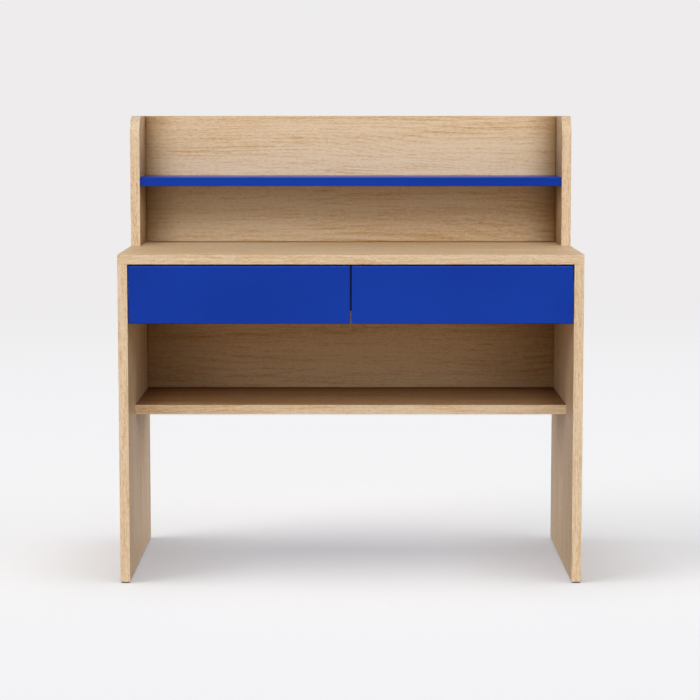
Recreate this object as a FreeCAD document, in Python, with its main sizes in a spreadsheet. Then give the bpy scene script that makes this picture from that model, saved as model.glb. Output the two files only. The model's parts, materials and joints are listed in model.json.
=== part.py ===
# Student desk with a hutch: slab sides, a top, a low shelf with its back board, two drawers on
# telescopic ball-bearing slides, and a hutch with one shelf that stands on the back of the top.
# Millimetres. X to the right, Y to the back, Z up. The origin is on the floor, under the middle
# of the desk's outline.

import FreeCAD, Part
import os
import re
import Sketcher
from FreeCAD import Placement, Rotation, Vector

SIZES = {
    # the whole desk
    "width": 1050,
    "depth": 550,
    "desk_height": 750,
    "board": 22,  # sides, top, low shelf, divider and hutch sides
    "edge_band": 1,
    # low shelf and its back board
    "low_shelf_top": 388,
    "low_shelf_setback": 165,  # front edge of the shelf, from the front of the desk
    "back_board": 18,
    "cable_gap": 34,  # from the back boards to the rear edges of the sides
    # hutch
    "hutch_height": 308,  # above the top
    "hutch_depth": 219,
    "hutch_corner": 50,
    "hutch_shelf_board": 21,
    "hutch_upper_bay": 145,  # from the shelf to the top of the hutch
    "hutch_shelf_recess": 8,
    "hutch_shelf_easing": 1,
    # drawer fronts
    "front_height": 131,
    "front_board": 18,
    "front_easing": 2.5,
    "side_reveal": 2,
    "top_reveal": 3,
    "centre_gap": 3,
    "divider_height": 106,
    "divider_setback": 2,  # behind the back of the drawer fronts
    # drawer boxes
    "box_clearance": 30,  # behind the box and its slides
    "pull_lip": 30,  # the front reaches this far below its box
    "box_height": 92,
    "box_board": 12,
    "bottom_board": 4,
    "bottom_rise": 8,
    "groove_depth": 5,
    "groove_play": 0.3,
    # slides
    "slide_gap": 12.7,  # between cabinet and drawer box
    "rail_height": 45,
    "rail_sheet": 1,
    "bend_inside": 0.2,
    "ball": 4,
    "race_play": 0.15,
    "cage_length": 160,
    "cage_sheet": 0.5,
    "cage_play": 0.2,  # between a cage and the web that it runs along
    "ball_pitch": 130,
    "arm_drop": 0.27,  # from the inner balls' centres to the cage arms
    "rail_screw_inset": 35,
    "rail_screw": 3.5,
    "rail_screw_reach": 10,  # in the board
    "rail_screw_head": 7,
    "screw_cross": 3.6,  # cross recess in the screw's head
    "screw_cross_arm": 1,
    "screw_cross_depth": 1.2,
    "rail_hole_play": 0.1,
    "rail_slot": 8,  # lightening slots in the middle rails
    "rail_slot_length": 60,
    # wooden dowels
    "dowel": 8,
    "dowel_length": 35,
    "dowel_seat": 12,  # the part of it in the first board
    "box_dowel": 6,
    "box_dowel_length": 30,
    "box_dowel_seat": 8,
    "dowel_bevel": 1,
    # cam fittings
    "bolt_thread": 6,
    "bolt_depth": 11,
    "bolt_shank": 5,
    "bolt_head": 7,
    "bolt_head_height": 3,
    "bolt_bore": 8,
    "cam_reach": 34,  # from the board's edge to the middle of the cam
    "cam": 15,
    "cam_height": 13,
    "cam_axis": 9,  # bolt's distance from the face that the cam is let into
    "cam_slot": 2,
    "cam_slot_length": 10,
    "cam_slot_depth": 3,
    "cam_sunk": 0.3,
    "joint_inset": 60,  # first fitting, from the end of a board
    "hutch_inset": 30,
    "dowel_step": 32,  # dowel's distance from the fitting beside it
    "bore_play": 0.1,  # all round a fitting in its bore
    "bore_spare": 0.5,  # depth left under a fitting
    # foot glides
    "glide_height": 3,
    "glide_width": 18,
    "glide_length": 50,
    "glide_corner": 3,
    "glide_inset": 3,
    "glide_pin": 4,
    "glide_pin_length": 12,
    "glide_pin_inset": 10,
}

# Places worked out from the sizes, as formulas in the same words.
PLACES = {
    "front": "-depth / 2",
    "back": "depth / 2",
    "inside": "width / 2 - board",  # inner face of a side, from the middle
    "underside": "desk_height - board",
    "boards_back": "back - cable_gap",
    "boards_front": "boards_back - back_board",
    "low_shelf_front": "front + low_shelf_setback",
    "hutch_front": "back - hutch_depth",
    "hutch_top": "desk_height + hutch_height",
    "hutch_shelf_level": "hutch_top - hutch_upper_bay",
    "hutch_shelf_front": "hutch_front + hutch_shelf_recess",
    "hutch_shelf_middle": "(hutch_shelf_front + boards_front) / 2",
    "cam_line": "inside + cam_axis",  # fittings in the sides, from the middle
    "boards_line": "boards_back - cam_axis",
    "divider_front": "front + front_board + divider_setback",
    "divider_line": "cam_axis - board / 2",
    "front_bottom": "underside - top_reveal - front_height",
    "box_front": "front + front_board",
    "box_back": "boards_front - box_clearance",
    "slide_length": "box_back - box_front",
    "box_bottom": "front_bottom + pull_lip",
    "box_top": "box_bottom + box_height",
    "slide_middle": "box_bottom + box_height / 2",
    "bottom_level": "box_bottom + bottom_rise",
    "tongue": "groove_depth - groove_play",
    # section of a slide: u from the cabinet to the drawer, v up from the middle
    "race": "ball / 2 + race_play",
    "skin": "race + rail_sheet",
    "bend": "bend_inside + rail_sheet",
    "outer_u": "skin",
    "outer_v": "rail_height / 2 - skin",
    "inner_u": "outer_u + 0.8 * (race + skin)",
    "inner_v": "outer_v - 0.6 * (race + skin)",
    "middle_web": "outer_u - bend",
    "inner_web": "slide_gap - rail_sheet",
    "outer_cage": "rail_sheet + cage_play",
    "inner_cage": "middle_web + rail_sheet + cage_play",
    "cage_start": "(slide_length - cage_length) / 2",
    "first_ball": "(slide_length - ball_pitch) / 2",
    "arm_level": "inner_v - arm_drop",
}

BALLS_IN_A_ROW = 2
AXES = {"X": Vector(1, 0, 0), "Y": Vector(0, 1, 0), "Z": Vector(0, 0, 1)}
PLANE_OF_AXIS = {"X": "YZ_Plane", "Y": "XZ_Plane", "Z": "XY_Plane"}

doc = FreeCAD.newDocument("StudentDesk")
sheet = doc.addObject("Spreadsheet::Sheet", "sizes")
for row, (alias, size) in enumerate(SIZES.items(), 1):
    sheet.set("A%d" % row, str(size))
    sheet.setAlias("A%d" % row, alias)
doc.recompute()

nodes = []
pockets = []


def expand(formula):
    """A formula in plain words as an expression on the sheet's cells."""
    def cell(match):
        word = match.group()
        if word in PLACES:
            return "(" + expand(PLACES[word]) + ")"
        return "sizes." + word if word in SIZES else word
    return re.sub(r"[a-z][a-z_]*", cell, str(formula))


def value(formula):
    return float(sheet.evalExpression(expand(formula)))


def bind(item, name, formula):
    item.setExpression(name, expand(formula))


def put(item, place, turn=Rotation()):
    """Places an object at three formulas, turned about that point."""
    item.Placement = Placement(Vector(*[value(formula) for formula in place]), turn)
    for axis, formula in zip("xyz", place):
        bind(item, ".Placement.Base." + axis, formula)


def vector(direction):
    """Unit vector of a direction such as "-X"."""
    return AXES[direction[1]] * (1 if direction[0] == "+" else -1)


def opposite(direction):
    return ("-" if direction[0] == "+" else "+") + direction[1]


def aimed(along, across="+X"):
    """The turn that lays local Z along one direction and local X along another."""
    up = vector(along)
    side = vector(across)
    if abs(up.dot(side)) > 0.5:
        side = AXES["Y"]
    return Rotation(side, up.cross(side), up, "ZXY")


# ---------------------------------------------------------------- bodies and sketches

def new_body(label, node=True):
    body = doc.addObject("PartDesign::Body", label)
    body.Label = label
    if node:
        nodes.append(body)
    return body


def new_sketch(body, axis, level="0"):
    """A sketch across an axis of the body, at a level along that axis."""
    sketch = body.newObject("Sketcher::SketchObject", body.Label + "_sketch")
    plane = [item for item in body.Origin.OriginFeatures if item.Role == PLANE_OF_AXIS[axis]][0]
    sketch.AttachmentSupport = (plane, [""])
    sketch.MapMode = "FlatFace"
    bind(sketch, ".AttachmentOffset.Base.z", "-(%s)" % level if axis == "Y" else level)
    return sketch


def tie(sketch, kind, where, formula):
    """A constraint whose value follows a formula."""
    index = sketch.addConstraint(Sketcher.Constraint(kind, *where, value(formula)))
    bind(sketch, "Constraints[%d]" % index, formula)


def tie_point(sketch, geometry, point, place):
    tie(sketch, "DistanceX", (geometry, point), place[0])
    tie(sketch, "DistanceY", (geometry, point), place[1])


def circle(sketch, centre, diameter):
    place = Vector(value(centre[0]), value(centre[1]), 0)
    index = sketch.addGeometry(Part.Circle(place, AXES["Z"], value(diameter) / 2), False)
    tie(sketch, "Diameter", (index,), diameter)
    tie_point(sketch, index, 3, centre)


def line(sketch, start, end):
    ends = [Vector(value(u), value(v), 0) for u, v in (start, end)]
    index = sketch.addGeometry(Part.LineSegment(*ends), False)
    tie_point(sketch, index, 1, start)
    tie_point(sketch, index, 2, end)


def arc(sketch, centre, radius, start, end):
    """An arc, anticlockwise between two directions given as points around its centre."""
    middle = Vector(value(centre[0]), value(centre[1]), 0)
    whole = Part.Circle(middle, AXES["Z"], value(radius))
    angles = [whole.parameter(middle + Vector(*direction, 0)) for direction in (start, end)]
    if angles[1] <= angles[0]:
        angles[1] += 2 * 3.141592653589793
    index = sketch.addGeometry(Part.ArcOfCircle(whole, *angles), False)
    tie(sketch, "Radius", (index,), radius)
    tie_point(sketch, index, 3, centre)


def polygon(sketch, points):
    for start, end in zip(points, points[1:] + points[:1]):
        line(sketch, start, end)


def pad(body, sketch, length, reverse=False):
    feature = body.newObject("PartDesign::Pad", body.Label + "_pad")
    feature.Profile = sketch
    feature.Reversed = reverse
    bind(feature, "Length", length)
    return feature


def pocket(body, sketch, depth, reverse, area):
    """A pocket, remembered with the volume that it should take away at least."""
    feature = body.newObject("PartDesign::Pocket", body.Label + "_pocket")
    feature.Profile = sketch
    feature.Reversed = reverse
    bind(feature, "Length", depth)
    pockets.append((feature, area * value(depth)))
    return feature


def turned(label, points, node=False):
    """A turned piece: half its outline, as radius and height, revolved about Z."""
    body = new_body(label, node)
    sketch = new_sketch(body, "Y")
    polygon(sketch, points)
    feature = body.newObject("PartDesign::Revolution", label + "_turned")
    feature.Profile = sketch
    feature.ReferenceAxis = (sketch, ["V_Axis"])
    feature.Angle = 360
    return body


def ease_edges(body, feature, radius, chosen):
    """Fillets the edges that pass a test on their middle and direction."""
    doc.recompute()
    names = []
    for index, edge in enumerate(feature.Shape.Edges, 1):
        middle = edge.CenterOfMass
        if chosen(middle, edge.tangentAt(edge.FirstParameter)):
            names.append("Edge%d" % index)
    fillet = body.newObject("PartDesign::Fillet", body.Label + "_easing")
    fillet.Base = (feature, names)
    bind(fillet, "Radius", radius)
    return fillet


class Board:
    """A board cut to size between two corners, given in the desk's frame."""

    def __init__(self, label, low, high):
        self.body = new_body(label)
        self.low = low
        self.high = high
        put(self.body, low)
        self.blank = self.body.newObject("PartDesign::AdditiveBox", label + "_blank")
        for side, start, end in zip(("Length", "Width", "Height"), low, high):
            bind(self.blank, side, "(%s) - (%s)" % (end, start))

    def local(self, place):
        return ["(%s) - (%s)" % pair for pair in zip(place, self.low)]

    def drill(self, direction, feet, diameter, depth):
        """Blind bores that start at the feet and go in the direction."""
        axis = "XYZ".index(direction[1])
        places = [self.local(foot) for foot in feet]
        sketch = new_sketch(self.body, direction[1], places[0][axis])
        for place in places:
            circle(sketch, [place[n] for n in range(3) if n != axis], diameter)
        reverse = direction in ("+X", "+Z", "-Y")
        area = len(feet) * 3.14 * value(diameter) ** 2 / 4
        pocket(self.body, sketch, depth, reverse, area)

    def groove(self, low, high):
        """A rectangular groove between two corners."""
        cutter = self.body.newObject("PartDesign::SubtractiveBox", self.body.Label + "_groove")
        for side, start, end in zip(("Length", "Width", "Height"), low, high):
            bind(cutter, side, "(%s) - (%s)" % (end, start))
        put(cutter, self.local(low))


def times(side, formula):
    """A formula on the left (-1) or the right (+1) of the desk."""
    return "%d * (%s)" % (side, formula)


def between(side, near, far):
    """Two X formulas, measured from the middle, in rising order on either side."""
    pair = [times(side, near), times(side, far)]
    return pair if side > 0 else pair[::-1]


# ---------------------------------------------------------------- fittings, placed as the boards are drilled

fitted = {"wood_dowels": [], "cam_bolts": [], "cam_nuts": []}


def step(place, direction, distance):
    """A place moved by a formula along a direction."""
    moved = list(place)
    axis = "XYZ".index(direction[1])
    moved[axis] = "(%s) %s (%s)" % (place[axis], direction[0], distance)
    return moved


def dowel_joint(feet, direction, first, second, group="wood_dowels", kind=""):
    """Dowels from the face of the first board into the edge of the second."""
    dowel = kind + "dowel"
    wide = dowel + " + 2 * bore_play"
    seat = dowel + "_seat"
    first.drill(opposite(direction), feet, wide, seat + " + bore_spare")
    second.drill(direction, feet, wide, "%s_length - %s + bore_spare" % (dowel, seat))
    for foot in feet:
        fitted.setdefault(group, []).append((foot, aimed(direction)))


def cam_joint(feet, direction, first, second, face, into):
    """Bolts in the face of the first board, drawn in by cams let into a face of the second."""
    axis = "XYZ".index(into[1])
    first.drill(opposite(direction), feet, "bolt_thread + 2 * bore_play", "bolt_depth + bore_spare")
    second.drill(direction, feet, "bolt_bore", "cam_reach")
    cams = [step(foot, direction, "cam_reach") for foot in feet]
    for cam in cams:
        cam[axis] = face
    second.drill(into, cams, "cam + 2 * bore_play", "cam_height + cam_sunk + bore_spare")
    for foot, cam in zip(feet, cams):
        fitted["cam_bolts"].append((foot, aimed(direction)))
        turn = aimed(opposite(into), opposite(direction))
        fitted["cam_nuts"].append((step(cam, into, "cam_sunk"), turn))


def group(label, templates_and_places):
    """One node of separate solids, each a copy of a template at its place."""
    copies = []
    for template, place, turn in templates_and_places:
        copy = doc.addObject("App::Link", "%s_%d" % (label, len(copies) + 1))
        copy.LinkedObject = template
        put(copy, place, turn)
        copies.append(copy)
    compound = doc.addObject("Part::Compound", label)
    compound.Label = label
    compound.Links = copies
    nodes.append(compound)
    return compound


# ---------------------------------------------------------------- templates of the small pieces

def dowel_template(kind):
    dowel = kind + "dowel"
    low = "-%s_seat" % dowel
    high = "%s_length - %s_seat" % (dowel, dowel)
    radius = dowel + " / 2"
    slim = dowel + " / 2 - dowel_bevel"
    return turned(dowel + "_template", [
        ("0", low), (slim, low), (radius, low + " + dowel_bevel"),
        (radius, high + " - dowel_bevel"), (slim, high), ("0", high)])


def bolt_template():
    """A cam bolt: the thread is below its foot, the shank and head above."""
    top = "cam_reach"
    under_head = "cam_reach - bolt_head_height"
    return turned("cam_bolt_template", [
        ("0", "-bolt_depth"), ("bolt_thread / 2", "-bolt_depth"), ("bolt_thread / 2", "0"),
        ("bolt_shank / 2", "0"), ("bolt_shank / 2", under_head), ("bolt_head / 2", under_head),
        ("bolt_head / 2", top), ("0", top)])


def cam_template():
    """A cam: its face is at Z 0, its mouth opens towards +X on the bolt's axis."""
    body = turned("cam_nut_template", [
        ("0", "-cam_height"), ("cam / 2", "-cam_height"), ("cam / 2", "0"), ("0", "0")])
    mouth = new_sketch(body, "X", "cam / 2")
    circle(mouth, ("0", "cam_sunk - cam_axis"), "bolt_head + 2 * bore_play")
    pocket(body, mouth, "cam / 2 + bolt_head / 2", False, 0.8 * 3.14 * value("bolt_head") ** 2 / 4)
    slot = new_sketch(body, "Z")
    corner = ("cam_slot / 2", "cam_slot_length / 2")
    polygon(slot, [("-" + corner[0], "-" + corner[1]), (corner[0], "-" + corner[1]),
                   corner, ("-" + corner[0], corner[1])])
    pocket(body, slot, "cam_slot_depth", False, value("cam_slot * cam_slot_length"))
    return body


def screw_template():
    """A countersunk screw: its head is flush with the rail's inner face, one sheet above Z 0."""
    tip = "-rail_screw_reach"
    radius = "rail_screw / 2"
    head = "rail_screw_head / 2"
    neck = "rail_sheet - rail_screw_head / 2 + rail_screw / 2"
    body = turned("rail_screw_template", [
        ("0", tip), (radius, tip + " + rail_screw / 2"), (radius, neck), (head, "rail_sheet"),
        ("0", "rail_sheet")])
    cross = new_sketch(body, "Z", "rail_sheet")
    far, near = "screw_cross / 2", "screw_cross_arm / 2"
    polygon(cross, [
        (far, near), (near, near), (near, far), ("-" + near, far), ("-" + near, near),
        ("-" + far, near), ("-" + far, "-" + near), ("-" + near, "-" + near),
        ("-" + near, "-" + far), (near, "-" + far), (near, "-" + near), (far, "-" + near)])
    pocket(body, cross, "screw_cross_depth", False,
           value("screw_cross_arm * (2 * screw_cross - screw_cross_arm)"))
    return body


def glide_template():
    """A foot glide with two pins; the middle of its underside is the origin."""
    body = new_body("foot_glide_template", False)
    plate = body.newObject("PartDesign::AdditiveBox", "glide_plate")
    bind(plate, "Length", "glide_width")
    bind(plate, "Width", "glide_length")
    bind(plate, "Height", "glide_height")
    put(plate, ("-glide_width / 2", "-glide_length / 2", "0"))
    ease_edges(body, plate, "glide_corner", lambda middle, way: abs(way.z) > 0.9)
    for side in (-1, 1):
        pin = body.newObject("PartDesign::AdditiveCylinder", "glide_pin")
        bind(pin, "Radius", "glide_pin / 2")
        bind(pin, "Height", "glide_height + glide_pin_length")
        put(pin, ("0", times(side, "glide_length / 2 - glide_pin_inset"), "0"))
    return body


# ---------------------------------------------------------------- carcass

sides = {}
hutch_sides = {}


def rounded_outline(sketch, inset):
    """Outline of a hutch side from its lower front corner, inset from the front and the top."""
    low = inset
    top = "hutch_height - " + inset
    radius = "hutch_corner - " + inset
    line(sketch, (low, "hutch_height - hutch_corner"), (low, "0"))
    arc(sketch, ("hutch_corner", "hutch_height - hutch_corner"), radius, (0, 1), (-1, 0))
    line(sketch, ("hutch_depth", top), ("hutch_corner", top))


class HutchSide(Board):
    """A hutch side with its top front corner rounded; the edge band wraps it."""

    def __init__(self, label, low):
        self.body = new_body(label)
        self.low = low
        put(self.body, low)
        sketch = new_sketch(self.body, "X")
        rounded_outline(sketch, "edge_band")
        line(sketch, ("edge_band", "0"), ("hutch_depth", "0"))
        line(sketch, ("hutch_depth", "0"), ("hutch_depth", "hutch_height - edge_band"))
        pad(self.body, sketch, "board")


def hutch_band(label, low):
    """The strip along the front, the rounded corner and the top of a hutch side."""
    body = new_body(label)
    put(body, low)
    sketch = new_sketch(body, "X")
    rounded_outline(sketch, "0")
    rounded_outline(sketch, "edge_band")
    line(sketch, ("0", "0"), ("edge_band", "0"))
    line(sketch, ("hutch_depth", "hutch_height - edge_band"), ("hutch_depth", "hutch_height"))
    pad(body, sketch, "board")


desktop = Board("desktop", ("-width / 2", "front + edge_band", "underside"),
                ("width / 2", "back", "desk_height"))
Board("desktop_edge_band", ("-width / 2", "front", "underside"),
          ("width / 2", "front + edge_band", "desk_height"))
low_shelf = Board("low_shelf", ("-inside", "low_shelf_front + edge_band", "low_shelf_top - board"),
                  ("inside", "boards_back", "low_shelf_top"))
Board("low_shelf_edge_band", ("-inside", "low_shelf_front", "low_shelf_top - board"),
          ("inside", "low_shelf_front + edge_band", "low_shelf_top"))
low_back = Board("low_back_panel", ("-inside", "boards_front", "low_shelf_top"),
                 ("inside", "boards_back", "underside"))
hutch_back = Board("hutch_back_panel", ("-inside", "boards_front", "desk_height"),
                   ("inside", "boards_back", "hutch_top - edge_band"))
Board("hutch_back_edge_band", ("-inside", "boards_front", "hutch_top - edge_band"),
          ("inside", "boards_back", "hutch_top"))
hutch_shelf = Board("hutch_shelf",
                    ("-inside", "hutch_shelf_front", "hutch_shelf_level - hutch_shelf_board"),
                    ("inside", "boards_front", "hutch_shelf_level"))
ease_edges(hutch_shelf.body, hutch_shelf.blank, "hutch_shelf_easing",
           lambda middle, way: abs(way.x) > 0.9 and middle.y < 1)
divider = Board("centre_divider", ("-board / 2", "divider_front", "underside - divider_height"),
                ("board / 2", "boards_front", "underside"))

for side, name in ((-1, "left"), (1, "right")):
    near, far = between(side, "inside", "width / 2")
    sides[side] = Board(name + "_side_panel", (near, "front + edge_band", "glide_height"),
                        (far, "back", "underside"))
    Board(name + "_side_edge_band", (near, "front", "glide_height"),
              (far, "front + edge_band", "underside"))
    hutch_sides[side] = HutchSide("hutch_%s_side" % name, (near, "hutch_front", "desk_height"))
    hutch_band("hutch_%s_edge_band" % name, (near, "hutch_front", "desk_height"))

# ---------------------------------------------------------------- joints of the carcass

for side in (-1, 1):
    inner_face = times(side, "inside")
    line_x = times(side, "cam_line")
    outwards = "+X" if side > 0 else "-X"
    inwards = opposite(outwards)
    # top to side panel, from below
    ends = ("front + joint_inset", "back - joint_inset")
    cam_joint([(line_x, place, "underside") for place in ends], "-Z", desktop, sides[side],
              inner_face, outwards)
    ends = ("front + joint_inset + dowel_step", "back - joint_inset - dowel_step")
    dowel_joint([(line_x, place, "underside") for place in ends], "-Z", desktop, sides[side])
    # top to hutch side, from above
    ends = ("hutch_front + hutch_inset", "back - hutch_inset")
    cam_joint([(line_x, place, "desk_height") for place in ends], "+Z", desktop,
              hutch_sides[side], inner_face, outwards)
    dowel_joint([(line_x, "hutch_front + hutch_inset + dowel_step", "desk_height")], "+Z", desktop,
                hutch_sides[side])
    # low shelf
    level = "low_shelf_top - board + cam_axis"
    ends = ("low_shelf_front + joint_inset", "boards_back - joint_inset")
    cam_joint([(inner_face, place, level) for place in ends], inwards, sides[side], low_shelf,
              "low_shelf_top - board", "+Z")
    dowel_joint([(inner_face, ends[0] + " + dowel_step", level)], inwards, sides[side], low_shelf)
    # low back panel
    ends = ("low_shelf_top + joint_inset", "underside - joint_inset")
    cam_joint([(inner_face, "boards_line", place) for place in ends], inwards, sides[side],
              low_back, "boards_back", "-Y")
    # hutch back panel
    ends = ("desk_height + joint_inset", "hutch_top - joint_inset")
    cam_joint([(inner_face, "boards_line", place) for place in ends], inwards, hutch_sides[side],
              hutch_back, "boards_back", "-Y")
    # hutch shelf
    level = "hutch_shelf_level - hutch_shelf_board + cam_axis"
    cam_joint([(inner_face, "hutch_shelf_middle", level)], inwards, hutch_sides[side],
              hutch_shelf, "hutch_shelf_level - hutch_shelf_board", "+Z")
    ends = ("hutch_shelf_middle - dowel_step", "hutch_shelf_middle + dowel_step")
    dowel_joint([(inner_face, place, level) for place in ends], inwards, hutch_sides[side],
                hutch_shelf)

# top to centre divider
ends = ("divider_front + joint_inset", "boards_front - joint_inset")
cam_joint([("divider_line", place, "underside") for place in ends], "-Z", desktop, divider,
          "-board / 2", "+X")
dowel_joint([("divider_line", ends[0] + " + dowel_step", "underside")], "-Z", desktop, divider)

# foot glides
glides = []
glide_template_body = glide_template()
for side in (-1, 1):
    middle = times(side, "width / 2 - board / 2")
    pins = []
    for end, start in ((1, "front"), (-1, "back")):
        place = "%s + %d * (glide_inset + glide_length / 2)" % (start, end)
        glides.append((glide_template_body, (middle, place, "0"), Rotation()))
        for way in (-1, 1):
            pins.append((middle, place + " + %d * (glide_length / 2 - glide_pin_inset)" % way,
                         "glide_height"))
    sides[side].drill("+Z", pins, "glide_pin + 2 * bore_play", "glide_pin_length + bore_spare")
group("foot_glides", glides)


# ---------------------------------------------------------------- slides

def rail(label, place, turn, section, hole_face=None):
    """One member of a slide: its section runs back from the front end."""
    body = new_body(label)
    put(body, place, turn)
    sketch = new_sketch(body, "Y")
    section(sketch)
    pad(body, sketch, "slide_length", True)
    if hole_face:
        for along in RAIL_SCREWS:
            hole = body.newObject("PartDesign::SubtractiveCone", label + "_hole")
            bind(hole, "Radius1", "rail_screw_head / 2 - rail_sheet + rail_hole_play")
            bind(hole, "Radius2", "rail_screw_head / 2 + rail_hole_play")
            bind(hole, "Height", "rail_sheet")
            put(hole, (hole_face[0], along, "0"), aimed(hole_face[1]))
    return body


def slot_holes(body, web):
    """Three long round-ended slots through the web of a rail."""
    sketch = new_sketch(body, "X", web)
    reach = "(rail_slot_length - rail_slot) / 2"
    half = "rail_slot / 2"
    for quarter in (1, 2, 3):
        low = "slide_length * %d / 4 - %s" % (quarter, reach)
        high = "slide_length * %d / 4 + %s" % (quarter, reach)
        line(sketch, (low, half), (high, half))
        line(sketch, (low, "-" + half), (high, "-" + half))
        arc(sketch, (high, "0"), half, (0, -1), (0, 1))
        arc(sketch, (low, "0"), half, (0, 1), (0, -1))
    pocket(body, sketch, "rail_sheet", True, 3 * value("rail_slot * (rail_slot_length - rail_slot)"))


RAIL_SCREWS = ("rail_screw_inset", "slide_length / 2", "slide_length - rail_screw_inset")
SINK_WIDTH = "rail_screw_head - 2 * rail_sheet + 2 * bore_play"  # seat of the screw's cone in the board
SINK_DEPTH = "(rail_screw_head - rail_screw) / 2 - rail_sheet + bore_play"


def mirrored_line(sketch, start, end):
    line(sketch, start, end)
    line(sketch, (start[0], "-(%s)" % start[1]), (end[0], "-(%s)" % end[1]))


def mirrored_arc(sketch, centre, radius, start, end):
    arc(sketch, centre, radius, start, end)
    flipped = [(direction[0], -direction[1]) for direction in (end, start)]
    arc(sketch, (centre[0], "-(%s)" % centre[1]), radius, *flipped)


def around(centre_u, centre_v, radius, direction):
    """The point at a radius and direction from a centre, as formulas."""
    return ("%s + %s * %s" % (centre_u, direction[0], radius),
            "%s + %s * %s" % (centre_v, direction[1], radius))


LIP = (0.96, 0.28)  # where the outer race ends
CURL = (0.96, -0.28)  # where the middle rail's race over the inner balls ends
FOLD = (0.8, -0.6)  # from the outer balls to the inner ones
BACK_FOLD = (-0.8, 0.6)
HOOK = (-0.8, -0.6)  # where the race under the inner balls ends


def outer_section(sketch):
    """A channel whose lips curl over the outer balls."""
    line(sketch, ("0", "-(outer_v)"), ("0", "outer_v"))
    line(sketch, ("rail_sheet", "-(outer_v)"), ("rail_sheet", "outer_v"))
    mirrored_arc(sketch, ("outer_u", "outer_v"), "skin", LIP, (-1, 0))
    mirrored_arc(sketch, ("outer_u", "outer_v"), "race", LIP, (-1, 0))
    mirrored_line(sketch, around("outer_u", "outer_v", "skin", LIP),
                  around("outer_u", "outer_v", "race", LIP))


def middle_section(sketch):
    """A channel whose flanges pass under the outer balls and over the inner ones."""
    turn_v = "outer_v - race - bend"
    line(sketch, ("middle_web", "-(%s)" % turn_v), ("middle_web", turn_v))
    line(sketch, ("middle_web + rail_sheet", "-(%s)" % turn_v),
         ("middle_web + rail_sheet", turn_v))
    mirrored_arc(sketch, ("outer_u", turn_v), "bend", (0, 1), (-1, 0))
    mirrored_arc(sketch, ("outer_u", turn_v), "bend_inside", (0, 1), (-1, 0))
    mirrored_arc(sketch, ("outer_u", "outer_v"), "race", (0, -1), FOLD)
    mirrored_arc(sketch, ("outer_u", "outer_v"), "skin", (0, -1), FOLD)
    mirrored_arc(sketch, ("inner_u", "inner_v"), "skin", CURL, BACK_FOLD)
    mirrored_arc(sketch, ("inner_u", "inner_v"), "race", CURL, BACK_FOLD)
    mirrored_line(sketch, around("inner_u", "inner_v", "skin", CURL),
                  around("inner_u", "inner_v", "race", CURL))


def inner_section(sketch):
    """The drawer's channel, whose flanges hook under the inner balls."""
    turn_v = "inner_v - race - bend"
    turn_u = "slide_gap - bend"
    line(sketch, ("slide_gap", "-(%s)" % turn_v), ("slide_gap", turn_v))
    line(sketch, ("inner_web", "-(%s)" % turn_v), ("inner_web", turn_v))
    mirrored_arc(sketch, (turn_u, turn_v), "bend", (1, 0), (0, 1))
    mirrored_arc(sketch, (turn_u, turn_v), "bend_inside", (1, 0), (0, 1))
    for radius in ("race", "skin"):
        mirrored_line(sketch, (turn_u, "inner_v - " + radius), ("inner_u", "inner_v - " + radius))
        mirrored_arc(sketch, ("inner_u", "inner_v"), radius, HOOK, (0, -1))
    mirrored_line(sketch, around("inner_u", "inner_v", "race", HOOK),
                  around("inner_u", "inner_v", "skin", HOOK))


def ball_places():
    return ["first_ball + %d * ball_pitch" % n for n in range(BALLS_IN_A_ROW)]


def outer_cage_template():
    """A flat strip beside the webs, notched round the outer balls."""
    body = new_body("outer_cage_template", False)
    strip = body.newObject("PartDesign::AdditiveBox", "outer_cage_strip")
    half = "(outer_v + 0.3 * ball / 2)"
    bind(strip, "Length", "cage_sheet")
    bind(strip, "Width", "cage_length")
    bind(strip, "Height", "2 * " + half)
    put(strip, ("outer_cage", "cage_start", "-" + half))
    sketch = new_sketch(body, "X", "outer_cage")
    reach = "(outer_u - outer_cage - cage_sheet)"
    notch = "2 * (sqrt(ball * ball / 4 - %s * %s) + race_play)" % (reach, reach)
    for along in ball_places():
        for way in (-1, 1):
            circle(sketch, (along, times(way, "outer_v")), notch)
    pocket(body, sketch, "cage_sheet", True, 1.0)
    return body


def inner_cage_template():
    """A channel between the middle and inner rails, its arms notched round the inner balls."""
    body = new_body("inner_cage_template", False)
    put(body, ("0", "0", "0"))
    sketch = new_sketch(body, "Y", "cage_start")
    web = "inner_cage"
    tip = "inner_u + ball / 4"
    level = "arm_level"
    polygon(sketch, [
        (web, "-(%s)" % level), (tip, "-(%s)" % level), (tip, "-(%s - cage_sheet)" % level),
        (web + " + cage_sheet", "-(%s - cage_sheet)" % level),
        (web + " + cage_sheet", level + " - cage_sheet"), (tip, level + " - cage_sheet"),
        (tip, level), (web, level)])
    pad(body, sketch, "cage_length", True)
    notches = new_sketch(body, "Z", "arm_level")
    for along in ball_places():
        circle(notches, ("inner_u", along), "ball + 2 * race_play")
    pocket(body, notches, "2 * arm_level", False, 0.2)
    return body


def balls_template():
    ball = doc.addObject("Part::Sphere", "ball_template")
    bind(ball, "Radius", "ball / 2")
    return ball


# ---------------------------------------------------------------- drawers

dowels = {"": dowel_template(""), "box_": dowel_template("box_")}
screw = screw_template()
ball = balls_template()
outer_cage = outer_cage_template()
inner_cage = inner_cage_template()
cabinet_screws = []


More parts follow.
